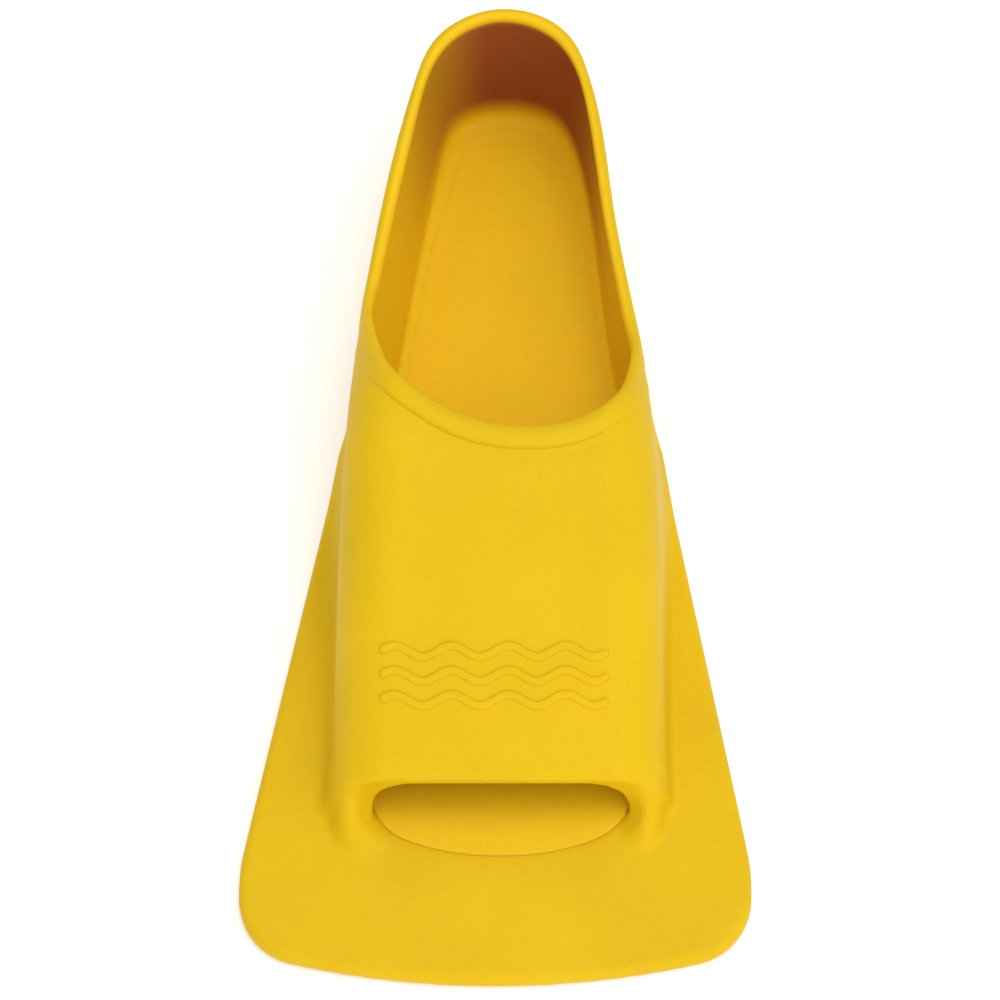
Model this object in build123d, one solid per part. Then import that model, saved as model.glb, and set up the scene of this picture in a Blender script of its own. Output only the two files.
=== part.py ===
from build123d import *
from math import hypot, pi, sin
import os

# A full-foot training swim fin for the right foot, moulded from rubber blanks that cure together.
# Millimetres. +Z is up, +Y points to the heel, -Y to the blade tip, +X to the medial (big toe) side.
# The origin is under the middle of the fin, on the plane that the sole rests on.

# Driving dimensions
LENGTH = 366.0            # heel to blade tip, over the collar bead
BLADE_WIDTH = 174.8       # blade at its widest
MEDIAL_HALF = 60.5        # outside of the pocket at the ball of the foot, from the centre line
LATERAL_HALF = 58.0
WALL = 4.0                # rubber of the upper
SOLE = 6.0                # outsole
FLOOR = 10.0              # top of the footbed
ARCH_TOP = 31.0           # top of the arch at its front edge
ROOT_THICKNESS = 9.0      # blade at the toes
TIP_THICKNESS = 5.5       # blade at its tip

# Collar bead and the front edge of the arch
BEAD_PROUD = 0.8          # how far the bead stands out of the wall on each side
BEAD_DEPTH = 5.0          # along the sides and the heel
BEAD_EXTRA_DEPTH = 2.7    # added over the instep
LIP_LENGTH = 6.0

# Stations along Y
HEEL_Y = LENGTH / 2 - BEAD_PROUD
TIP_Y = -LENGTH / 2
HEEL_CUP_Y = 112.0        # front of the heel cup
SIDE_WALL_Y = 30.0        # front of the two side walls
TOE_Y = -120.0            # front edge of the arch over the toes
TONGUE_Y = -138.0         # where the footbed runs out on the blade
RAIL_END_Y = -139.0       # where the side rails run out on the blade
WEB_LENGTH = 12.0         # band of the blade that bends
WING_START_Y = 50.0       # where the blade grows out of the pocket
WING_START_INSET = 12.0   # its sides start this far inside, then slant out to their line at WING_Y
WING_Y = 24.0

# Half widths of the pocket at the ground, then the inward lean of its walls per unit of height, as
# (y, medial, lateral, medial lean, lateral lean), from the toe to the heel
DRAFT = 0.085             # lean of the walls outside
INNER_DRAFT = 0.03        # and inside, round the toes
OUTER_STATIONS = [
    (-150.0, MEDIAL_HALF, LATERAL_HALF, DRAFT, DRAFT),
    (-60.0, MEDIAL_HALF, LATERAL_HALF, DRAFT, DRAFT),
    (0.0, MEDIAL_HALF - 0.5, LATERAL_HALF - 0.6, DRAFT, DRAFT),
    (50.0, MEDIAL_HALF - 7.0, LATERAL_HALF - 4.5, DRAFT, DRAFT),
    (100.0, MEDIAL_HALF - 15.1, LATERAL_HALF - 10.8, DRAFT, DRAFT),
    (145.0, MEDIAL_HALF - 21.2, LATERAL_HALF - 19.4, DRAFT, DRAFT),
    (171.0, MEDIAL_HALF - 32.6, LATERAL_HALF - 30.6, DRAFT, DRAFT),
]
# Inside, the walls open upwards from the arch of the foot to the heel, so they get thinner towards the bead
INNER_STATIONS = [
    (-150.0, MEDIAL_HALF - 22.5, LATERAL_HALF - 22.0, INNER_DRAFT, INNER_DRAFT),
    (TOE_Y, MEDIAL_HALF - 14.0, LATERAL_HALF - 15.0, INNER_DRAFT, INNER_DRAFT),
    (-85.0, MEDIAL_HALF - 8.8, LATERAL_HALF - 8.6, INNER_DRAFT, INNER_DRAFT),
    (-40.0, MEDIAL_HALF - 7.0, LATERAL_HALF - 7.0, INNER_DRAFT, INNER_DRAFT),
    (0.0, MEDIAL_HALF - 9.2, LATERAL_HALF - 11.2, 0.0, -0.04),
    (50.0, MEDIAL_HALF - 19.8, LATERAL_HALF - 21.2, -0.09, -0.16),
    (100.0, MEDIAL_HALF - 25.8, LATERAL_HALF - 28.0, -0.06, -0.16),
    (145.0, MEDIAL_HALF - 32.9, LATERAL_HALF - 34.9, -0.06, -0.12),
    (166.5, MEDIAL_HALF - 43.0, LATERAL_HALF - 42.4, -0.06, -0.08),
]
# Back of the heel cup at the ground, and its lean
OUTER_HEEL = (HEEL_Y, DRAFT / 2)
INNER_HEEL = (HEEL_Y - 11.7, -0.08)
SHOULDER = 19.0           # outside radius between the walls and the top
LAST_TOP = 100.0          # the walls are drawn up to here, then cut down

# Side profiles as (y, z): the top of the pocket, the edge of the foot opening, and the top of the blade
TOP_PROFILE = [
    (220, 97),
    (150, 91),
    (100, 83),
    (60, 78),
    (30, 79),
    (0, 81),
    (-25, 74),
    (-60, 59),
    (TOE_Y, ARCH_TOP),
    (-160, 16),
]
COLLAR_PROFILE = [
    (215, 77),
    (184, 70),
    (140, 62.5),
    (95, 58),
    (60, 57),
    (40, 57.3),
    (25, 59.8),
    (10, 67.2),
    (0, 73),
    (-6.5, 78),
    (-11.5, 86),
    (-16.5, 96),
]
INSTEP_Y = 12.0           # the bead is at its full depth forward of here
INSTEP_END_Y = 48.0       # and at its least depth behind here
# How far back of COLLAR_PROFILE the edge lies at each x: it sweeps round the instep, further forward
# on the medial side
COLLAR_SWEEP = [
    (-75, 80),
    (-48, 38),
    (-36, 23.1),
    (-24, 12.0),
    (-12, 4.1),
    (0, 0),
    (12, -1.1),
    (24, 0.3),
    (36, 6.2),
    (46, 16),
    (75, 60),
]
BLADE_PROFILE = [
    (90, ROOT_THICKNESS),
    (-100, ROOT_THICKNESS),
    (RAIL_END_Y, ROOT_THICKNESS - 0.4),
    (TIP_Y - 1, TIP_THICKNESS),
]

# Blade outline
SIDE_SLOPE = 0.178        # half width gained per unit of length, up to SIDE_END_Y
SIDE_END_Y = -141.4       # from here to the corners the sides are parallel
SIDE_BEND_RADIUS = 60.0
CORNER_RADIUS = 24.0
TIP_SAG = 13.2            # the tip's edge is an arc that bulges by this much
EDGE_RADIUS = 2.0

# Side rails
RAIL_TOP_DROP = 1.0
RAIL_END_HEIGHT = 0.5
RAIL_END_SLANT = 11.0     # the inner side starts upright and slants out this far by the end

# Grooves under the sole, for grip on a wet deck
GROOVE_WIDTH = 2.4
GROOVE_DEPTH = 1.6
GROOVE_PITCH = 9.0
GROOVE_MARGIN = 9.0       # flat rim left round the grooves
GROOVE_RUNS = [(-104.0, -14.0), (88.0, 160.0)]

# Raised wave badge on the upper
BADGE_Y = -88.0
BADGE_LENGTH = 78.0
BADGE_HEIGHT = 0.8
WAVE_LENGTH = 19.5
WAVE_SWING = 1.7
WAVE_WIDTH = 2.6
WAVE_PITCH = 7.5
WAVE_ROWS = 3

FAR = 400.0               # larger than the fin


def slab(low, high):
    """Box between two corners, given as (x, y, z)."""
    size = [high[i] - low[i] for i in range(3)]
    return Pos(*low) * Box(*size, align=(Align.MIN,) * 3)


def between_y(front, back):
    return slab((-FAR, front, -FAR), (FAR, back, FAR))


def between_z(bottom, top):
    return slab((-FAR, -FAR, bottom), (FAR, FAR, top))


def plan_wire(stations, heel, z, grow):
    """Outline of the pocket at one height: toe, medial side, heel, lateral side, closed across the toe."""
    medial = [Vector(half - lean * z + grow, y, z) for y, half, _, lean, _ in stations]
    lateral = [Vector(lean * z - half - grow, y, z) for y, _, half, _, lean in reversed(stations)]
    heel_y, heel_lean = heel
    back = Vector(0, heel_y - heel_lean * z + grow / 2, z)
    around = Edge.make_spline(medial + [back] + lateral)
    return Wire([around, Edge.make_line(around @ 1, around @ 0)])


def tub(stations, heel, grow):
    """Solid with the pocket's plan and leaning walls, up to LAST_TOP."""
    return Solid.make_loft([plan_wire(stations, heel, z, grow) for z in (0, LAST_TOP)], True)


def section(profile, limit, x, shift):
    """Closed outline at one x, between a side profile moved along Y and a level."""
    points = [Vector(x, y + shift, z) for y, z in profile]
    back, front = points[0], points[-1]
    far_back, far_front = Vector(x, back.Y, limit), Vector(x, front.Y, limit)
    return Wire([
        Edge.make_spline(points),
        Edge.make_line(front, far_front),
        Edge.make_line(far_front, far_back),
        Edge.make_line(far_back, back),
    ])


def under_profile(profile):
    """Everything under a side profile, across the whole width."""
    return Solid.extrude(Face(section(profile, -FAR, -FAR, 0)), Vector(2 * FAR, 0, 0))


def above_collar(profile):
    """Everything above the edge of the foot opening, which sweeps round the instep."""
    return Solid.make_loft([section(profile, FAR / 2, x, shift) for x, shift in COLLAR_SWEEP])


def raised(profile, height):
    return [(y, z + height) for y, z in profile]


def under_bead(profile):
    """The collar's profile moved square to itself, down and forward, by the depth of the bead."""
    moved = []
    for i, (y, z) in enumerate(profile):
        y0, z0 = profile[max(i - 1, 0)]
        y1, z1 = profile[min(i + 1, len(profile) - 1)]
        run = hypot(y1 - y0, z1 - z0)
        instep = min(max((INSTEP_END_Y - y) / (INSTEP_END_Y - INSTEP_Y), 0), 1)
        depth = BEAD_DEPTH + BEAD_EXTRA_DEPTH * instep
        moved.append((y - depth * (z1 - z0) / run, z + depth * (y1 - y0) / run))
    return moved


def last(stations, heel, grow, drop, radius):
    """The rounded form of the pocket, cut off straight at the toe."""
    form = tub(stations, heel, grow) & under_profile(raised(TOP_PROFILE, grow - drop))
    form = (form & between_y(TOE_Y, FAR)).solid()
    long_edges = [e for e in form.edges() if e.length > LENGTH and e.center().Z > FLOOR]
    return form.fillet(radius, long_edges)


def outside(grow):
    return last(OUTER_STATIONS, OUTER_HEEL, grow, 0, SHOULDER + grow)


def cavity(shrink):
    """Room for the foot, from the outsole up."""
    form = last(INNER_STATIONS, INNER_HEEL, -shrink, WALL, SHOULDER - WALL - shrink)
    return form & between_z(SOLE, FAR)


def blade_outline():
    """Straight sides that spread towards the tip, round corners and an arc across the tip."""
    half = BLADE_WIDTH / 2
    half_start = half - SIDE_SLOPE * (WING_Y - SIDE_END_Y)
    side = [
        (half_start - WING_START_INSET, WING_START_Y),
        (half_start, WING_Y),
        (half, SIDE_END_Y),
        (half, TIP_Y + TIP_SAG),
    ]
    other_side = [(-x, y) for x, y in reversed(side)]
    with BuildSketch() as sketch:
        with BuildLine():
            Polyline(*side)
            ThreePointArc(side[-1], (0, TIP_Y), other_side[0])
            Polyline(*other_side, side[0])
        make_face()
        fillet(sketch.vertices().filter_by(lambda v: v.Y < SIDE_END_Y - 1), CORNER_RADIUS)
        fillet(sketch.vertices().filter_by(lambda v: abs(v.Y - SIDE_END_Y) < 1), SIDE_BEND_RADIUS)
    return sketch.sketch


def blade_plate():
    plate = extrude(blade_outline(), ROOT_THICKNESS * 2) & under_profile(BLADE_PROFILE)
    plate = plate.solid()
    rim = [
        e
        for e in plate.edges()
        if e.center().Y < WING_START_Y - 1 and e.bounding_box().size.Z < TIP_THICKNESS - 1
    ]
    return plate.fillet(EDGE_RADIUS, rim)


def tongue():
    """Front of the footbed: it runs through the toe opening and out on to the blade in a curve."""
    y, medial, lateral, lean, _ = INNER_STATIONS[1]
    inset = FLOOR * lean
    ends = (medial - inset, y), (inset - lateral, y)
    with BuildSketch() as sketch:
        with BuildLine():
            Line(ends[1], ends[0])
            Spline(
                ends[0],
                (medial * 0.62, TONGUE_Y + 4.5),
                (0, TONGUE_Y),
                (-lateral * 0.62, TONGUE_Y + 4.5),
                ends[1],
            )
        make_face()
    return Pos(0, 0, SOLE) * extrude(sketch.sketch, FLOOR - SOLE)


def make_footbed():
    return (cavity(0) & between_z(SOLE, FLOOR)) + tongue()


def make_outsole():
    """Sole under the foot, with cross grooves inside a flat rim."""
    sole = tub(OUTER_STATIONS, OUTER_HEEL, 0) & slab((-FAR, TOE_Y, 0), (FAR, FAR, SOLE))
    inside = tub(OUTER_STATIONS, OUTER_HEEL, -GROOVE_MARGIN)
    for front, back in GROOVE_RUNS:
        count = int((back - front) / GROOVE_PITCH) + 1
        for i in range(count):
            y = front + i * GROOVE_PITCH
            groove = slab((-FAR, y, -1), (FAR, y + GROOVE_WIDTH, GROOVE_DEPTH))
            sole -= groove & inside
    return sole


def make_upper():
    """The rubber wall round the foot, cut down to the opening, without its bead."""
    shell = (outside(0) - cavity(0)) & between_z(SOLE, FAR)
    return shell - above_collar(under_bead(COLLAR_PROFILE))


def make_collar_bead():
    """Thicker band round the edge of the foot opening."""
    band = outside(BEAD_PROUD) - cavity(BEAD_PROUD)
    band &= above_collar(under_bead(COLLAR_PROFILE))
    return band - above_collar(COLLAR_PROFILE)


def rail_section(inner, crest, outer, base, shoulder, top, y):
    """Quarter-round section, with a straight inner side up to its crest."""
    middle = (crest + (outer - crest) * 0.707, y, shoulder + (top - shoulder) * 0.707)
    points = [(inner, y, base), (outer, y, base), (outer, y, shoulder), (crest, y, top)]
    a, b, c, d = [Vector(*p) for p in points]
    return Wire([
        Edge.make_line(a, b),
        Edge.make_line(b, c),
        Edge.make_three_point_arc(c, Vector(*middle), d),
        Edge.make_line(d, a),
    ])


def make_rail(side, half_outer, half_inner):
    """Wedge that runs from the end of the arch down to the blade, beside the toe opening."""
    lean = DRAFT * ROOT_THICKNESS
    arch_top = ARCH_TOP - RAIL_TOP_DROP
    low = ROOT_THICKNESS - 2
    start = rail_section(half_inner, half_inner, half_outer - lean, low, 12, arch_top, TOE_Y)
    end_top = ROOT_THICKNESS + RAIL_END_HEIGHT
    end_inner, end_outer = half_inner - 1, half_outer - 3
    crest = end_inner + RAIL_END_SLANT
    end = rail_section(end_inner, crest, end_outer, low, ROOT_THICKNESS, end_top, RAIL_END_Y)
    rail = Solid.make_loft([start, end], True)
    if side < 0:
        rail = rail.mirror(Plane.YZ)
    return rail


def wave(y):
    """One wavy rib, drawn flat and run upwards through the arch."""
    count = round(BADGE_LENGTH / WAVE_LENGTH * 8)
    xs = [-BADGE_LENGTH / 2 + BADGE_LENGTH * i / count for i in range(count + 1)]
    rear = [(x, y + WAVE_SWING * sin(2 * pi * x / WAVE_LENGTH) + WAVE_WIDTH / 2) for x in xs]
    front = [(x, v - WAVE_WIDTH) for x, v in rear]
    with BuildSketch() as sketch:
        with BuildLine():
            Spline(*rear)
            Line(rear[-1], front[-1])
            Spline(*reversed(front))
            Line(front[0], rear[0])
        make_face()
    return extrude(sketch.sketch, LAST_TOP)


def make_wave_badge():
    skin = under_profile(raised(TOP_PROFILE, BADGE_HEIGHT)) - under_profile(TOP_PROFILE)
    first = BADGE_Y - WAVE_PITCH * (WAVE_ROWS - 1) / 2
    ribs = [wave(first + WAVE_PITCH * i) & skin for i in range(WAVE_ROWS)]
    return Compound(children=[rib.solid() for rib in ribs])


def main():
    os.makedirs("parts", exist_ok=True)
    pocket = outside(0)
    footbed = make_footbed()
    blade = blade_plate() - pocket - footbed
    upper = make_upper()
    web_end = RAIL_END_Y - WEB_LENGTH
    medial_half, lateral_half = slab((0, -FAR, 0), (FAR, FAR, FAR)), slab((-FAR, -FAR, 0), (0, FAR, FAR))
    middle = upper & between_y(SIDE_WALL_Y, HEEL_CUP_Y)
    inner_medial, inner_lateral = INNER_STATIONS[1][1:3]
    nodes = {
        "outsole": make_outsole(),
        "footbed": footbed,
        "vamp": upper & between_y(TOE_Y + LIP_LENGTH, SIDE_WALL_Y),
        "toe_lip": upper & between_y(TOE_Y, TOE_Y + LIP_LENGTH),
        "side_wall_medial": middle & medial_half,
        "side_wall_lateral": middle & lateral_half,
        "heel_cup": upper & between_y(HEEL_CUP_Y, FAR),
        "collar_bead": make_collar_bead(),
        "rail_medial": make_rail(1, MEDIAL_HALF, inner_medial) - blade,
        "rail_lateral": make_rail(-1, LATERAL_HALF, inner_lateral) - blade,
        "blade_root": blade & between_y(RAIL_END_Y, FAR),
        "flex_web": blade & between_y(web_end, RAIL_END_Y),
        "blade_tip": blade & between_y(-FAR, web_end),
        "wave_badge": make_wave_badge(),
    }
    for name, shape in nodes.items():
        export_step(shape, f"parts/{name}.step")


main()
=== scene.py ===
"""A moulded rubber swim fin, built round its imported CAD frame. Shapes are worked out in millimetres."""

import itertools
import math

import bmesh
import bpy
import numpy as np
from mathutils import Matrix, Vector


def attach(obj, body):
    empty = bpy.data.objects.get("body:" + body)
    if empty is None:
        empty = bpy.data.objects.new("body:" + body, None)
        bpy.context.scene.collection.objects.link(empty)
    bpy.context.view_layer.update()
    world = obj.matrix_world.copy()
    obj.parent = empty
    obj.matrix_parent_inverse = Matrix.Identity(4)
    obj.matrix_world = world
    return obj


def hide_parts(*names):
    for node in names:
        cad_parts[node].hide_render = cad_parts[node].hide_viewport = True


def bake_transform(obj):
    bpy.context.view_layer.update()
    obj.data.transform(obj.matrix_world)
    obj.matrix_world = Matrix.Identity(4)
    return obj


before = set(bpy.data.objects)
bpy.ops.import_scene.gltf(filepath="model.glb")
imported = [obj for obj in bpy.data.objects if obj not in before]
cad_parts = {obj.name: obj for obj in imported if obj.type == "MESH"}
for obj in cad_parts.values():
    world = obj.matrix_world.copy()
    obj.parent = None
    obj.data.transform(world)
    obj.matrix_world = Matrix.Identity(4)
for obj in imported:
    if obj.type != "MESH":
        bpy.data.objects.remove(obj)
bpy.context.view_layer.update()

MM = 0.001
STEP = 1.3     # spacing of the grid that surfaces are drawn from

# Driving dimensions, as in the CAD model
MEDIAL, LATERAL = 60.5, 58.0
WALL, SOLE, FLOOR, ARCH_TOP = 4.0, 6.0, 10.0, 31.0
HEEL_Y, TIP_Y, TOE_Y, TONGUE_Y = 182.2, -183.0, -120.0, -138.0
HEEL_CUP_Y, SIDE_WALL_Y, RAIL_END_Y, WEB_END_Y = 112.0, 30.0, -139.0, -151.0
INNER_HEEL_Y, INNER_HEEL_LEAN = HEEL_Y - 11.7, -0.08
DRAFT, SHOULDER, LAST_TOP = 0.085, 19.0, 100.0
# Insets from the half widths at the ground, as (y, medial, lateral), and inside also how the walls lean
OUTER = [
    (-150.0, 0.0, 0.0), (-60.0, 0.0, 0.0), (0.0, 0.5, 0.6), (50.0, 7.0, 4.5),
    (100.0, 15.1, 10.8), (145.0, 21.2, 19.4), (171.0, 32.6, 30.6),
]
INNER = [
    (-150.0, 22.5, 22.0, 0.03, 0.03), (TOE_Y, 14.0, 15.0, 0.03, 0.03), (-85.0, 8.8, 8.6, 0.03, 0.03),
    (-40.0, 7.0, 7.0, 0.03, 0.03), (0.0, 9.2, 11.2, 0.0, -0.04), (50.0, 19.8, 21.2, -0.09, -0.16),
    (100.0, 25.8, 28.0, -0.06, -0.16), (145.0, 32.9, 34.9, -0.06, -0.12), (166.5, 43.0, 42.4, -0.06, -0.08),
]
# Height of the arch's top, as (y, z)
TOP = [
    (-160, 16), (TOE_Y, ARCH_TOP), (-60, 59), (-25, 74), (0, 81), (30, 79), (60, 78), (100, 83), (150, 91),
    (220, 97),
]
# Height of the edge of the foot opening, as (distance behind its sweep, z), and the sweep, as (x, y)
COLLAR = [
    (-16.5, 96), (-11.5, 86), (-6.5, 78), (0, 73), (10, 67.2), (25, 59.8), (40, 57.3), (60, 57), (95, 58),
    (140, 62.5), (184, 70), (215, 77),
]
COLLAR_SWEEP = [
    (-75, 80), (-48, 38), (-36, 23.1), (-24, 12.0), (-12, 4.1), (0, 0), (12, -1.1), (24, 0.3), (36, 6.2),
    (46, 16), (75, 60),
]
# The blade: heights as (y, z), half width, where its sides start to draw in, and how fast they do
BLADE_TOP = [(TIP_Y - 1, 5.5), (RAIL_END_Y, 8.6), (-100, 9.0), (90, 9.0)]
BLADE_HALF, SIDE_END_Y, SIDE_SLOPE = 87.4, -141.4, 0.178
TIP_SAG, CORNER_RADIUS = 13.2, 24.0
WING_Y, WING_START_Y, WING_INSET = 24.0, 50.0, 12.0
# Grooves across the sole: their pitch, half width and depth, the flat rim round them, and (first, count)
GROOVE_PITCH, GROOVE_HALF, GROOVE_DEPTH, GROOVE_RIM = 9.0, 1.2, 1.6, 9.0
GROOVES = [(-104.0, 10), (88.0, 8)]

# Sizes of the looks. The bead is a touch shallower along the sides than the CAD model's.
BEAD_DEPTH, BEAD_EXTRA_DEPTH = 4.8, 2.9
THINNEST_WALL = 2.6
RAIL_TOP, RAIL_RADIUS, RAIL_FOOT_Y = 29.0, 9.0, -145.0
RAIL_BACK_Y, RAIL_FRONT_Y, HOLLOW_FRONT_Y = -112.0, -147.0, -140.0
RECESS_INSET, RECESS_TOP, RECESS_FRONT_Y = 3.0, 5.0, -117.0
BLADE_EDGE, LIP_RADIUS, RIM_RADIUS, BOTTOM_RADIUS = 2.6, 1.9, 1.9, 1.4
TONGUE_START_Y, FLEX_END_Y = -98.0, -170.0


# ---------------------------------------------------------------- curves and fields

class Spline:
    """Natural cubic through points, run by distance between them."""

    def __init__(self, points, knots=None):
        self.p = np.array(points, float)
        steps = np.linalg.norm(np.diff(self.p, axis=0), axis=1)
        self.t = np.concatenate([[0], np.cumsum(steps)]) if knots is None else np.array(knots, float)
        h, n = np.diff(self.t), len(self.t)
        a, b = np.eye(n), np.zeros_like(self.p)
        for i in range(1, n - 1):
            a[i, i - 1 : i + 2] = h[i - 1], 2 * (h[i - 1] + h[i]), h[i]
            b[i] = 6 * ((self.p[i + 1] - self.p[i]) / h[i] - (self.p[i] - self.p[i - 1]) / h[i - 1])
        self.m = np.linalg.solve(a, b)

    def at(self, t, order=0):
        """Points, or the first or second derivative; straight beyond the ends."""
        t = np.asarray(t, float)
        inside = np.clip(t, self.t[0], self.t[-1])
        i = np.clip(np.searchsorted(self.t, inside, side="right") - 1, 0, len(self.t) - 2)
        h = (self.t[i + 1] - self.t[i])[..., None]
        u, v = (self.t[i + 1] - inside)[..., None], (inside - self.t[i])[..., None]
        p0, p1, m0, m1 = self.p[i], self.p[i + 1], self.m[i], self.m[i + 1]
        if order == 2:
            return (m0 * u + m1 * v) / h
        slope = (m1 * v * v - m0 * u * u) / (2 * h) + (p1 - p0) / h - (m1 - m0) * h / 6
        if order == 1:
            return slope
        value = (m0 * u**3 + m1 * v**3) / (6 * h) + (p0 / h - m0 * h / 6) * u + (p1 / h - m1 * h / 6) * v
        return value + slope * (t - inside)[..., None]


def profile(pairs):
    """Height as a smooth function of y, with its slope."""
    y, z = np.array(pairs, float).T
    line = Spline(z[:, None], y)
    return lambda v: line.at(v)[..., 0], lambda v: line.at(v, 1)[..., 0]


roof, roof_slope = profile(TOP)
collar, collar_slope = profile(COLLAR)
sweep, sweep_slope = profile(COLLAR_SWEEP)
blade_top, _ = profile(BLADE_TOP)


class PlanField:
    """Signed distance from a smooth outline, in plan, kept on a grid and read back smoothly."""

    LOW, HIGH, CELL = (-72.0, -160.0), (72.0, 192.0), 1.0

    def __init__(self, line, t0=None, t1=None):
        t0 = line.t[0] if t0 is None else t0
        t1 = line.t[-1] if t1 is None else t1
        xs, ys = (np.arange(self.LOW[k], self.HIGH[k], self.CELL) for k in (0, 1))
        grid = np.stack(np.meshgrid(xs, ys, indexing="ij"), -1).reshape(-1, 2)
        samples = np.linspace(t0, t1, 360)
        at = line.at(samples)
        nearest = np.concatenate([
            ((part[:, None] - at[None]) ** 2).sum(-1).argmin(1) for part in np.array_split(grid, 24)
        ])
        t = samples[nearest]
        for _ in range(3):
            gap, d1, d2 = line.at(t) - grid, line.at(t, 1), line.at(t, 2)
            bend = (d1 * d1).sum(1) + (gap * d2).sum(1)
            move = (gap * d1).sum(1) / np.maximum(bend, 0.2)
            t = np.clip(t - np.clip(move, -3, 3), t0, t1)
        gap, d1 = grid - line.at(t), line.at(t, 1)
        side = d1[:, 0] * gap[:, 1] - d1[:, 1] * gap[:, 0]
        self.values = (np.linalg.norm(gap, axis=1) * -np.sign(side)).reshape(len(xs), len(ys))

    def __call__(self, x, y):
        shape = np.array(self.values.shape)
        fx, fy = (x - self.LOW[0]) / self.CELL, (y - self.LOW[1]) / self.CELL
        fx, fy = np.clip(fx, 1, shape[0] - 3.001), np.clip(fy, 1, shape[1] - 3.001)
        ix, iy = fx.astype(int), fy.astype(int)
        wx, wy = self.weights(fx - ix), self.weights(fy - iy)
        total = 0
        for a, b in itertools.product(range(4), range(4)):
            total = total + self.values[ix + a - 1, iy + b - 1] * wx[a] * wy[b]
        return total

    @staticmethod
    def weights(f):
        return (
            ((2 - f) * f - 1) * f / 2, ((3 * f - 5) * f * f + 2) / 2,
            ((4 - 3 * f) * f + 1) * f / 2, (f - 1) * f * f / 2,
        )


def inner_at(z):
    """Insets of the inner walls at one height, and the back of the heel."""
    return [(y, m + a * z, l + b * z) for y, m, l, a, b in INNER], INNER_HEEL_Y - INNER_HEEL_LEAN * z


def around(stations, heel_y):
    """Points round the pocket: medial side, heel, lateral side."""
    medial = [(MEDIAL - m, y) for y, m, _ in stations]
    lateral = [(l - LATERAL, y) for y, _, l in reversed(stations)]
    return medial + [(0.0, heel_y)] + lateral


def footbed_line():
    """Closed outline of the footbed: the inside of the pocket, and the tongue in front."""
    stations, heel_y = inner_at(FLOOR)
    back = around(stations[1:], heel_y)
    front = [(-36.5, -128.5), (-26.0, -133.8), (-13.0, -137.0), (1.5, TONGUE_Y), (16.0, -137.0)]
    ring = back + front + [(29.0, -133.8), (39.5, -128.5)]
    lap = 4
    line = Spline(ring[-lap:] + ring + ring[: lap + 1])
    return line, line.t[lap], line.t[lap + len(ring)]


outer_plan = PlanField(Spline(around(OUTER, HEEL_Y)))
inner_low = PlanField(Spline(around(*inner_at(0.0))))
inner_high = PlanField(Spline(around(*inner_at(LAST_TOP))))
footbed_plan = PlanField(*footbed_line())


def round_max(a, b, radius):
    """Both at once, with their outer edge rounded."""
    return np.minimum(np.maximum(a, b), -radius) + np.hypot(
        np.maximum(a + radius, 0), np.maximum(b + radius, 0)
    )


def fillet_max(a, b, radius, turn):
    """The same where the two directions aren't square to each other: turn is the cosine between them."""
    u, v = a + radius, b + radius
    arc = np.sqrt(np.maximum(u * u + v * v - 2 * turn * u * v, 0) / (1 - turn * turn)) - radius
    return np.where((u > turn * v) & (v > turn * u) & (u + v > 0), arc, np.maximum(a, b))


def soft_min(a, b, reach):
    """Either one, with their inner corner filled."""
    h = np.maximum(reach - np.abs(a - b), 0) / reach
    return np.minimum(a, b) - h * h * reach / 4


def smooth_step(v, low, high):
    t = np.clip((v - low) / (high - low), 0, 1)
    return t * t * (3 - 2 * t)


def outer_wall(x, y, z):
    """The walls lean in with height, less at the heel."""
    return outer_plan(x, y) + DRAFT * z * (1 - 0.5 * smooth_step(y, 150.0, 182.0))


def under_roof(y, z, drop):
    """How far above the top of the arch, or above a surface lower than that by the drop."""
    return (z - roof(y) + drop) / np.sqrt(1 + roof_slope(y) ** 2)


def pocket(x, y, z):
    """Outside of the foot pocket."""
    return round_max(outer_wall(x, y, z), under_roof(y, z, 0.0), SHOULDER)


def room(x, y, z):
    """Inside of the foot pocket, with no floor. Its walls open upwards round the back of the foot."""
    low = inner_low(x, y)
    wall = np.maximum(low + (inner_high(x, y) - low) * z / LAST_TOP, outer_wall(x, y, z) + THINNEST_WALL)
    return round_max(wall, under_roof(y, z, WALL), SHOULDER - WALL)


def over_collar(x, y, z):
    """How far above the edge of the foot opening."""
    v = y - sweep(x)
    return (z - collar(v)) / np.sqrt(1 + collar_slope(v) ** 2 * (1 + sweep_slope(x) ** 2))


def instep(x, y):
    """1 where the edge climbs over the instep, 0 along the sides and the heel."""
    return 1 - smooth_step(y - sweep(x), 2.0, 38.0)


def bead_depth(x, y):
    """Height of the bead's band, more over the instep."""
    return BEAD_DEPTH + BEAD_EXTRA_DEPTH * instep(x, y)


def neck(x, y, z):
    """Depth of the shallow hollow in the arch under the bead, over the middle of the instep."""
    down = -over_collar(x, y, z) - bead_depth(x, y) - 1.0
    return 0.8 * np.exp(-((down / 3.5) ** 2)) * instep(x, y) * (1 - smooth_step(np.abs(x), 32.0, 48.0))


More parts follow.
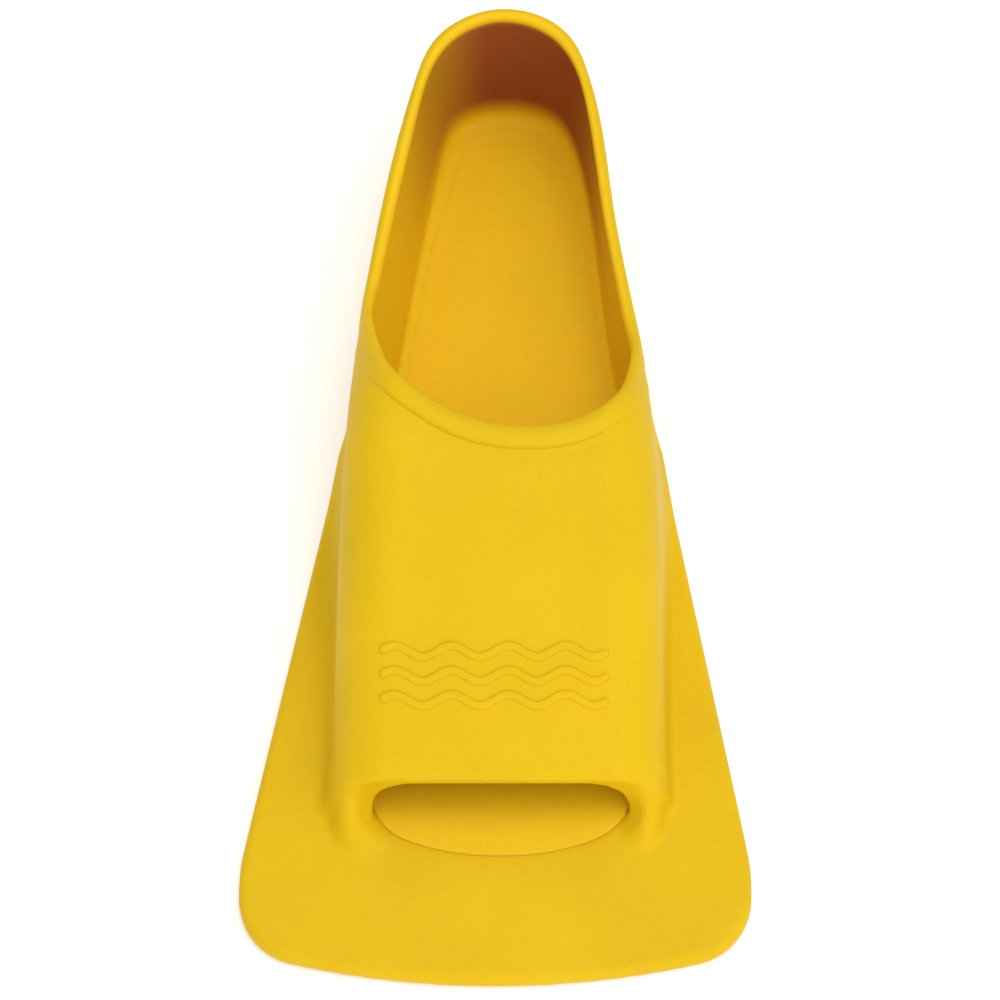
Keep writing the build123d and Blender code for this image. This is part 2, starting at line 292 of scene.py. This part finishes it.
def rails(x, y, z):
    """The arch runs on down to the blade on both sides of the toe opening, as two smooth wedges."""
    along = np.clip((TOE_Y - y) / 20.0, 0.0, 1.2)
    half = np.where(x > 0, MEDIAL, LATERAL)
    opening = np.where(x > 0, MEDIAL - 14.5, LATERAL - 15.5)
    out = np.abs(x) - half + 8.0 * along**2 + DRAFT * z
    ramp = (z - 1.0 - RAIL_TOP * (1 - smooth_step(-y, 116.5, -RAIL_FOOT_Y))) * 0.72
    slant = 0.2 + 1.3 * np.minimum(along, 1.0)
    inside = (opening - np.abs(x) + slant * (z - 8.5)) / np.hypot(1, slant)
    crest = round_max(round_max(pocket(x, y, z), ramp, RAIL_RADIUS), inside, 5.0)
    return np.maximum(np.maximum(round_max(crest, out, 7.0), y - RAIL_BACK_Y), RAIL_FRONT_Y - y)


def blade_plan(x, y):
    """Outline of the blade: straight sides that draw in a little, a bowed tip, wings beside the pocket."""
    wide = np.abs(x)
    slant = (wide - BLADE_HALF - SIDE_SLOPE * (SIDE_END_Y - y)) / math.hypot(1, SIDE_SLOPE)
    straight = wide - BLADE_HALF
    side = -soft_min(-slant, -straight, 0.93)
    radius = (BLADE_HALF**2 + TIP_SAG**2) / (2 * TIP_SAG)
    tip = np.hypot(x, y - TIP_Y - radius) - radius
    half_start = BLADE_HALF - SIDE_SLOPE * (WING_Y - SIDE_END_Y)
    run = WING_START_Y - WING_Y
    wing = ((wide - half_start) * run + (y - WING_Y) * WING_INSET) / math.hypot(run, WING_INSET)
    return np.maximum(fillet_max(side, tip, CORNER_RADIUS, 0.25), np.maximum(wing, y - WING_START_Y))


def blade(x, y, z):
    """The blade, flat underneath, with its upper edge rounded."""
    return round_max(blade_plan(x, y), z - blade_top(y), BLADE_EDGE)


def hollow(x, y, z):
    """Room for the foot above the footbed, coved at the bottom and running out through the open toe."""
    cove = 2.2 + 3.8 * smooth_step(y, 110.0, 165.0) - 1.6 * smooth_step(-y, 70.0, 114.0)
    front = smooth_step(-y, 116.0, 122.0)
    slant = 0.2 + 1.3 * np.clip((TOE_Y - y) / 20.0, 0.0, 1.0)
    mouth = (footbed_plan(x, y) - slant * (z - 9.5)) / np.hypot(1, slant) - 30.0 * (1 - front)
    wall = np.maximum(np.maximum(room(x, y, z), mouth), HOLLOW_FRONT_Y - y)
    above = round_max(wall, FLOOR - 0.15 - 0.85 * front - z, cove)
    under = np.maximum(np.maximum(wall + cove, SOLE + 1.0 - z), -116.0 - y)
    return np.minimum(above, under)


def fin(x, y, z):
    """The whole moulding but for its bead, footbed and sole plate."""
    arch = round_max(pocket(x, y, z) + neck(x, y, z), TOE_Y - y, LIP_RADIUS)
    flare = 9.0 + 6.0 * smooth_step(-x, -20.0, 20.0)
    solid = soft_min(2.6 * soft_min(arch, rails(x, y, z), 6.0), blade(x, y, z), flare)
    whole = round_max(solid, -hollow(x, y, z), RIM_RADIUS)
    whole = np.maximum(whole, over_collar(x, y, z) + bead_depth(x, y) / 2)
    recess = np.maximum(np.maximum(outer_plan(x, y) + RECESS_INSET, z - RECESS_TOP), RECESS_FRONT_Y - y)
    return round_max(np.maximum(whole, -recess), -z, BOTTOM_RADIUS)


def bead(x, y, z):
    """Round roll along the edge of the foot opening, proudest over the instep."""
    outside, inside = pocket(x, y, z), -room(x, y, z)
    deep = bead_depth(x, y) / 2
    over_foot = instep(x, y) * (1 - smooth_step(np.abs(x), 36.0, 50.0))
    side = (1 - smooth_step(y, 120.0, 165.0)) * (1 - over_foot)
    proud = 0.4 + 0.4 * side + 0.9 * over_foot
    thick = np.clip(-(outside + inside) / 2, 1.1, 2.2) + proud
    round_off = np.minimum(thick, deep) * 0.97
    across = np.maximum(np.abs((outside - inside) / 2 + 0.45 * side) - thick + round_off, 0)
    along = np.maximum(np.abs(over_collar(x, y, z) + deep) - deep + round_off, 0)
    return np.hypot(across, along) - round_off


def footbed(x, y, z):
    """Inner sole, with the tongue that runs out through the open toe. Its rim is under the walls."""
    level = FLOOR - 0.8 * smooth_step(-y, 112.0, 137.0)
    edge = footbed_plan(x, y) - 1.0 + smooth_step(-y, 112.0, 118.0)
    return np.maximum(round_max(edge, z - level, 0.7), SOLE + 0.6 - z)


def footbed_back(x, y, z):
    return np.maximum(footbed(x, y, z), TONGUE_START_Y - y)


def footbed_tongue(x, y, z):
    return np.maximum(footbed(x, y, z), y - TONGUE_START_Y)


def inside_and_out(x, y, z):
    """The moulding and its footbed together, with the line between them smoothed, for shading."""
    both = soft_min(fin(x, y, z), footbed(x, y, z), 3.5)
    return np.where(y > -60.0, both, fin(x, y, z))


def sole_plate(x, y, z):
    """Outsole, let into the bottom of the moulding with a fine gap, its cross grooves inside a flat rim."""
    rim = outer_plan(x, y)
    outline = np.maximum(rim + RECESS_INSET + 0.2, RECESS_FRONT_Y + 0.2 - y)
    plate = np.maximum(round_max(outline, -z, 0.7), z - RECESS_TOP + 0.1)
    for front, count in GROOVES:
        along = y - front - GROOVE_HALF
        row = np.clip(np.round(along / GROOVE_PITCH), 0, count)
        groove = np.maximum(np.abs(along - GROOVE_PITCH * row) - GROOVE_HALF, z - GROOVE_DEPTH)
        plate = np.maximum(plate, -np.maximum(groove, rim + GROOVE_RIM))
    return plate


# ---------------------------------------------------------------- meshes

def surface(field, low, high, step=STEP):
    """Closed quad mesh where a field is zero, with its points drawn on to the surface."""
    axes = [np.arange(low[k], high[k] + step, step) for k in range(3)]
    grid = np.meshgrid(*axes, indexing="ij")
    values = field(*[g.ravel() for g in grid]).reshape(grid[0].shape)
    solid = values < 0
    cell = np.array(values.shape) - 1
    crossings, total = np.zeros(cell), np.zeros((*cell, 3))
    corners = list(itertools.product((0, 1), repeat=3))

    def corner(array, c):
        return array[c[0] : c[0] + cell[0], c[1] : c[1] + cell[1], c[2] : c[2] + cell[2]]

    for c in corners:
        for k in range(3):
            if c[k]:
                continue
            d = tuple(1 if j == k else c[j] for j in range(3))
            cut = corner(solid, c) != corner(solid, d)
            a, b = corner(values, c)[cut], corner(values, d)[cut]
            place = np.array(c, float)[None].repeat(len(a), 0)
            place[:, k] = a / (a - b)
            total[cut] += place
            crossings[cut] += 1
    used = crossings > 0
    number = np.full(cell, -1)
    number[used] = np.arange(used.sum())
    points = np.argwhere(used) + total[used] / crossings[used][:, None]
    points = points * step + np.array(low)
    faces = []
    for k in range(3):
        i, j = (k + 1) % 3, (k + 2) % 3
        before = [slice(1, -1)] * 3
        before[k] = slice(0, -1)
        after = list(before)
        after[k] = slice(1, None)
        cut = solid[tuple(before)] != solid[tuple(after)]
        leaving = solid[tuple(before)][cut]
        at = np.argwhere(cut)
        at[:, i] += 1
        at[:, j] += 1
        ring = []
        for di, dj in ((1, 1), (0, 1), (0, 0), (1, 0)):
            one = at.copy()
            one[:, i] -= di
            one[:, j] -= dj
            ring.append(number[tuple(one.T)])
        quad = np.stack(ring, 1)
        faces.append(np.where(leaving[:, None], quad, quad[:, ::-1]))
    for _ in range(3):
        slope, value = gradient(field, points)
        points = points - slope * np.clip(value, -step, step)[:, None]
    return points, np.concatenate(faces)


def gradient(field, points, reach=0.25):
    """Unit outward direction at each point, and how far outside the surface it is."""
    x, y, z = points.T
    slope = np.stack([
        field(x + reach, y, z) - field(x - reach, y, z),
        field(x, y + reach, z) - field(x, y - reach, z),
        field(x, y, z + reach) - field(x, y, z - reach),
    ], 1) / (2 * reach)
    length = np.maximum(np.linalg.norm(slope, axis=1), 0.3)
    value = field(x, y, z) / length
    return slope / np.maximum(np.linalg.norm(slope, axis=1), 1e-6)[:, None], value


def new_object(name, points, faces):
    mesh = bpy.data.meshes.new(name)
    mesh.from_pydata([tuple(p) for p in np.asarray(points) * MM], [], [tuple(map(int, f)) for f in faces])
    mesh.update()
    obj = bpy.data.objects.new(name, mesh)
    bpy.context.scene.collection.objects.link(obj)
    return obj


def places(mesh):
    """The mesh's points, in millimetres."""
    co = np.empty(len(mesh.vertices) * 3, np.float64)
    mesh.vertices.foreach_get("co", co)
    return co.reshape(-1, 3) / MM


def shade(obj, field):
    """Smooth normals taken from the field itself."""
    mesh = obj.data
    normals, _ = gradient(field, places(mesh), 0.45)
    mesh.polygons.foreach_set("use_smooth", np.ones(len(mesh.polygons), bool))
    mesh.normals_split_custom_set_from_vertices([tuple(n) for n in normals])


def painted_shade(obj):
    """Two measures at each point, both painted into the colour. Painted shade is how far the rubber is
    darkened inside the pocket, most of all at the heel, and along the crease at the sides of the tongue;
    painted light is how far the pocket's inside and the footbed are made paler.
    """
    is_footbed = obj.name.startswith("footbed")
    mesh = obj.data
    x, y, z = places(mesh).T
    inner = smooth_step(np.abs(pocket(x, y, z)) - np.abs(room(x, y, z)), -1.0, 2.0)
    under = smooth_step(-over_collar(x, y, z), 1.5, 5.0)
    rise = smooth_step(z, FLOOR + 2.0, FLOOR + 14.0)
    heel = smooth_step(y + 0.25 * x, 75.0, 168.0) * (1 - 0.4 * smooth_step(-x, 4.0, 28.0))
    medial = 0.12 * smooth_step(x, 0.0, 30.0)
    # Painted shade: the inside of the pocket under the bead is darkened, most of all at the heel, where
    # shade falls
    shade_amount = inner * under * rise * (medial + (1 - medial) * heel) * smooth_step(y, -60.0, 0.0)
    # Painted shade along the crease at the edges of the tongue
    crease_shade = smooth_step(footbed_plan(x, y), -0.6, 0.0) * smooth_step(-y, 112.0, 120.0)
    shade_amount = np.maximum(shade_amount, 0.5 * crease_shade * (obj.name == "footbed_tongue_inlay"))
    behind_toes = smooth_step(y, -112.0, -95.0)
    # Painted light: the inside of the pocket and the footbed are made paler, as if more light reached them
    painted_light = np.maximum(inner, is_footbed) * (0.6 + 0.4 * behind_toes) * np.maximum(behind_toes, is_footbed)
    for name, values in (("painted_shade", shade_amount), ("painted_light", painted_light)):
        mesh.attributes.new(name, "FLOAT", "POINT").data.foreach_set("value", values.astype(np.float32))


def part_of(source, name, cuts):
    """Closed copy of the part of a mesh on the kept side of each cut: (axis, place, side kept)."""
    bm = bmesh.new()
    bm.from_mesh(source.data)
    for axis, place, side in cuts:
        normal = Vector([side if k == axis else 0 for k in range(3)])
        spot = Vector([place * MM if k == axis else 0 for k in range(3)])
        cut = bmesh.ops.bisect_plane(
            bm, geom=bm.verts[:] + bm.edges[:] + bm.faces[:], plane_co=spot, plane_no=normal,
            dist=1e-7, clear_inner=True,
        )
        edges = [e for e in cut["geom_cut"] if isinstance(e, bmesh.types.BMEdge) and e.is_boundary]
        bmesh.ops.triangle_fill(bm, use_beauty=True, edges=edges, normal=-normal)
    bmesh.ops.remove_doubles(bm, verts=bm.verts[:], dist=1e-7)
    mesh = bpy.data.meshes.new(name)
    bm.to_mesh(mesh)
    bm.free()
    obj = bpy.data.objects.new(name, mesh)
    bpy.context.scene.collection.objects.link(obj)
    return obj


# ---------------------------------------------------------------- materials

RUBBER = (0.68, 0.435, 0.004)
# Painted shade: the colour the rubber is multiplied by where it is darkened inside the heel and along the
# tongue's edges
PAINTED_SHADE_TINT = (0.36, 0.14, 2.0)
# Painted light: the colour the pocket's inside and the footbed are multiplied by to make them paler
PAINTED_LIGHT_TINT = (1.21, 1.18, 2.4)
COLOUR_A, COLOUR_B, COLOUR_OUT = 6, 7, 2     # a Mix node's colour sockets


def rubber(name, tint=(1.0, 1.0, 1.0), roughness=0.5):
    """Satin moulded rubber: faint clouding, fine grain, slightly uneven gloss."""
    material = bpy.data.materials.new(name)
    material.use_nodes = True
    tree = material.node_tree
    shader = tree.nodes["Principled BSDF"]
    place = tree.nodes.new("ShaderNodeTexCoord")

    def noise(scale, detail=3.0):
        node = tree.nodes.new("ShaderNodeTexNoise")
        node.inputs["Scale"].default_value = scale
        node.inputs["Detail"].default_value = detail
        tree.links.new(place.outputs["Object"], node.inputs["Vector"])
        return node.outputs["Fac"]

    def ramp(source, low, high, start=0.3, end=0.7):
        node = tree.nodes.new("ShaderNodeValToRGB")
        node.color_ramp.elements[0].position = start
        node.color_ramp.elements[1].position = end
        node.color_ramp.elements[0].color = (*low, 1)
        node.color_ramp.elements[1].color = (*high, 1)
        tree.links.new(source, node.inputs["Fac"])
        return node.outputs["Color"]

    def tinted(source, attribute, colour):
        """The source times the colour, as far as the mesh's attribute says."""
        where = tree.nodes.new("ShaderNodeAttribute")
        where.attribute_name = attribute
        node = tree.nodes.new("ShaderNodeMix")
        node.data_type, node.blend_type = "RGBA", "MULTIPLY"
        node.inputs[COLOUR_B].default_value = (*colour, 1)
        tree.links.new(where.outputs["Fac"], node.inputs["Factor"])
        tree.links.new(source, node.inputs[COLOUR_A])
        return node.outputs[COLOUR_OUT]

    colour = [RUBBER[k] * tint[k] for k in range(3)]
    clouds = ramp(noise(22.0), [c * 0.955 for c in colour], [min(c * 1.03, 1) for c in colour])
    specks = ramp(noise(420.0, 2.0), (0.97, 0.965, 0.95), (1.0, 1.0, 1.0), 0.28, 0.5)
    mix = tree.nodes.new("ShaderNodeMix")
    mix.data_type, mix.blend_type = "RGBA", "MULTIPLY"
    mix.inputs["Factor"].default_value = 1.0
    tree.links.new(clouds, mix.inputs[COLOUR_A])
    tree.links.new(specks, mix.inputs[COLOUR_B])
    # Painted light and painted shade: the mesh's attributes make the pocket's inside and the footbed paler,
    # and darken the heel's inside and the tongue's edges
    with_painted_light = tinted(mix.outputs[COLOUR_OUT], "painted_light", PAINTED_LIGHT_TINT)
    tree.links.new(tinted(with_painted_light, "painted_shade", PAINTED_SHADE_TINT), shader.inputs["Base Color"])

    gloss = tree.nodes.new("ShaderNodeMapRange")
    gloss.inputs["To Min"].default_value = roughness - 0.06
    gloss.inputs["To Max"].default_value = roughness + 0.08
    tree.links.new(noise(60.0), gloss.inputs["Value"])
    tree.links.new(gloss.outputs["Result"], shader.inputs["Roughness"])
    shader.inputs["Specular IOR Level"].default_value = 0.11

    grain = tree.nodes.new("ShaderNodeBump")
    grain.inputs["Strength"].default_value = 0.12
    grain.inputs["Distance"].default_value = 0.0003
    tree.links.new(noise(1100.0, 2.0), grain.inputs["Height"])
    swell = tree.nodes.new("ShaderNodeBump")
    swell.inputs["Strength"].default_value = 0.10
    swell.inputs["Distance"].default_value = 0.0012
    tree.links.new(noise(45.0, 2.0), swell.inputs["Height"])
    tree.links.new(grain.outputs["Normal"], swell.inputs["Normal"])
    tree.links.new(swell.outputs["Normal"], shader.inputs["Normal"])
    return material


MATERIALS = {
    "shell": rubber("rubber_shell"),
    "blade": rubber("rubber_blade"),
    "footbed": rubber("rubber_footbed", (1.01, 0.99, 1.0)),
    "sole": rubber("rubber_sole", (0.97, 0.96, 1.0), 0.6),
    "badge": rubber("rubber_badge"),
}


def dress(obj, slot):
    obj.data.materials.clear()
    obj.data.materials.append(MATERIALS[slot])


# ---------------------------------------------------------------- the fin's pieces

def moulding():
    """One moulding, cut into its regions by planes, so that no seam shows between them."""
    points, faces = surface(fin, (-96.0, -190.0, -3.0), (96.0, 188.0, 92.0))
    whole = new_object("moulding", points, faces)
    toe, side, heel = (1, RAIL_END_Y, 1), (1, SIDE_WALL_Y, 1), (1, HEEL_CUP_Y, 1)
    pieces = [
        ("vamp_and_blade_root", "shell", [toe, (1, SIDE_WALL_Y, -1)],
         ["vamp", "toe_lip", "rail_medial", "rail_lateral", "blade_root"]),
        ("side_wall_medial", "shell", [side, (1, HEEL_CUP_Y, -1), (0, 0.0, 1)], ["side_wall_medial"]),
        ("side_wall_lateral", "shell", [side, (1, HEEL_CUP_Y, -1), (0, 0.0, -1)], ["side_wall_lateral"]),
        ("heel_cup", "shell", [heel], ["heel_cup"]),
        ("flex_web", "blade", [(1, RAIL_END_Y, -1), (1, WEB_END_Y, 1)], ["flex_web"]),
        ("blade_tip", "blade", [(1, WEB_END_Y, -1)], ["blade_tip"]),
    ]
    for name, slot, cuts, nodes in pieces:
        piece = part_of(whole, name + "_skin", cuts)
        shade(piece, fin if slot == "blade" else inside_and_out)
        painted_shade(piece)
        dress(piece, slot)
        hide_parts(*nodes)
        if slot == "blade":
            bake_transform(piece)
        else:
            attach(piece, "foot_pocket")
    bpy.data.objects.remove(whole)


def inlay(name, field, low, high, slot, node, step=STEP, shading=None):
    """A piece of its own on the pocket, drawn from its field inside a box."""
    points, faces = surface(field, low, high, step)
    piece = new_object(name, points, faces)
    shade(piece, shading or field)
    painted_shade(piece)
    dress(piece, slot)
    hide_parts(node)
    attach(piece, "foot_pocket")


def make_badge():
    """Three wavy ribs, raised on the arch."""
    length, wave, swing, width, height = 78.0, 19.5, 1.7, 2.6, 0.8
    middle_y, pitch = -88.0, 7.5
    count, across = 157, 11
    points, faces = [], []
    for row in (-1, 0, 1):
        y0 = middle_y + pitch * row
        first = len(points)
        for i in range(count):
            x = length * (i / (count - 1) - 0.5)
            turn = 2 * math.pi * x / wave
            slope = swing * 2 * math.pi / wave * math.cos(turn)
            nx, ny = -slope / math.hypot(1, slope), 1 / math.hypot(1, slope)
            end = min(1.0, (length / 2 - abs(x)) / (width / 2))
            full = math.sqrt(max(1 - (1 - end) ** 2, 0.0)) * 0.999 + 0.001
            for k in range(across):
                angle = math.pi * k / (across - 1)
                off = math.cos(angle) * width / 2 * full
                rise = height * full * math.sin(angle) ** 0.7 if 0 < k < across - 1 else -0.5
                px, py = x + nx * off, y0 + swing * math.sin(turn) + ny * off
                points.append((px, py, float(roof(py)) + rise))
        for i in range(count - 1):
            for k in range(across):
                a, b = first + i * across + k, first + i * across + (k + 1) % across
                faces.append((a, a + across, b + across, b))
        faces.append([first + k for k in range(across)])
        faces.append([first + (count - 1) * across + k for k in reversed(range(across))])
    badge = new_object("wave_badge_ribs", points, faces)
    badge.data.polygons.foreach_set("use_smooth", np.ones(len(badge.data.polygons), bool))
    dress(badge, "badge")
    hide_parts("wave_badge")
    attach(badge, "foot_pocket")


moulding()
inlay(
    "collar_bead_roll", bead, (-64.0, -24.0, 44.0), (64.0, 190.0, 92.0), "shell", "collar_bead",
    STEP * 0.85,
)
inlay(
    "footbed_inlay", footbed_back, (-60.0, -102.0, 4.0), (60.0, 184.0, 25.0), "footbed", "footbed",
    shading=inside_and_out,
)
inlay(
    "footbed_tongue_inlay", footbed_tongue, (-54.0, -142.0, 4.0), (54.0, -95.0, 14.0), "footbed", "footbed",
    STEP / 2,
)
make_badge()
inlay(
    "outsole_plate", sole_plate, (-64.0, -120.0, -3.0), (64.0, 186.0, 7.0), "sole", "outsole",
    STEP * 0.8,
)

# ---------------------------------------------------------------- stage, light and camera

def make_stage():
    """Pale floor just clear of the flat underside, in an even white surrounding."""
    half, level = 6000.0, -0.3
    corners = [(-half, -half, level), (half, -half, level), (half, half, level), (-half, half, level)]
    floor = new_object("floor", corners, [(0, 1, 2, 3)])
    material = bpy.data.materials.new("pale_floor")
    material.use_nodes = True
    shader = material.node_tree.nodes["Principled BSDF"]
    shader.inputs["Base Color"].default_value = (0.9, 0.9, 0.9, 1)
    shader.inputs["Roughness"].default_value = 0.9
    shader.inputs["Emission Color"].default_value = (1, 1, 1, 1)
    shader.inputs["Emission Strength"].default_value = 0.2
    shader.inputs["Specular IOR Level"].default_value = 0.1
    floor.data.materials.append(material)
    world = bpy.data.worlds.new("studio")
    bpy.context.scene.world = world
    world.use_nodes = True
    world.node_tree.nodes["Background"].inputs["Color"].default_value = (1, 1, 1, 1)
    world.node_tree.nodes["Background"].inputs["Strength"].default_value = 0.72


def area_light(name, place, target, size, power):
    data = bpy.data.lights.new(name, "AREA")
    data.shape, data.size, data.energy = "DISK", size, power
    light = bpy.data.objects.new(name, data)
    bpy.context.scene.collection.objects.link(light)
    light.location = place
    light.rotation_euler = (Vector(target) - Vector(place)).to_track_quat("-Z", "Y").to_euler()


def place_camera():
    """From in front and above, at a distance from the point aimed at."""
    azimuth, elevation, roll = (math.radians(v) for v in (3.0, 59.0, -2.7206))
    aim, distance, lens, sensor = Vector((0.0004, -0.0025, 0.0196)), 1.5, 151.668, 36.0
    flat = math.cos(elevation)
    back = Vector((math.sin(azimuth) * flat, -math.cos(azimuth) * flat, math.sin(elevation)))
    level = Vector((math.cos(azimuth), math.sin(azimuth), 0))
    above = back.cross(level)
    right = level * math.cos(roll) + above * math.sin(roll)
    up = above * math.cos(roll) - level * math.sin(roll)
    data = bpy.data.cameras.new("camera")
    data.lens, data.sensor_width = lens, sensor
    camera = bpy.data.objects.new("camera", data)
    bpy.context.scene.collection.objects.link(camera)
    turn = Matrix((right, up, back)).transposed().to_4x4()
    camera.matrix_world = Matrix.Translation(aim + back * distance) @ turn
    bpy.context.scene.camera = camera


make_stage()
area_light("key", (0.9, -0.6, 1.5), (0, 0, 0), 2.0, 10)
area_light("top", (0.1, 0.2, 1.9), (0, 0, 0), 1.2, 10)
area_light("front", (0.2, -1.8, 0.4), (0, 0, 0.02), 0.8, 7)
place_camera()
bpy.context.scene.view_settings.view_transform = "Standard"
